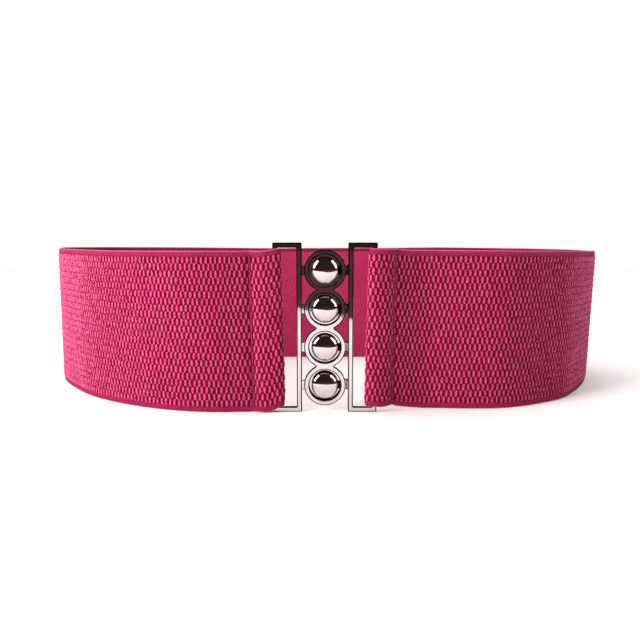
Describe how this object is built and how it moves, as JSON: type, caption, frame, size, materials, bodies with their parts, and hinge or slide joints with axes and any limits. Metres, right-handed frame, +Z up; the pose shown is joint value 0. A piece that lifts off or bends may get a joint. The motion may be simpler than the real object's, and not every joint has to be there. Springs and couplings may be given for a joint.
{
  "type": "elastic stretch belt",
  "caption": "Wide knuckled elastic waist belt, closed in front by a cast clasp of rings and domed studs, standing on its lower edge.",
  "frame": {"origin": "middle of the loop, on the surface that the belt stands on", "axes": "+Z up along the strap's width, +X along the loop's long side, to the right as seen from in front of the clasp, +Y from the clasp to the back"},
  "size_m": [0.3156, 0.1546, 0.0788],
  "materials": {
    "elastic": "matte",
    "plated_metal": "polished"
  },
  "bodies": {
    "root": {"elastic_strap": "elastic", "ring_half": "plated_metal", "stud_half": "plated_metal"}
  },
  "joints": []
}
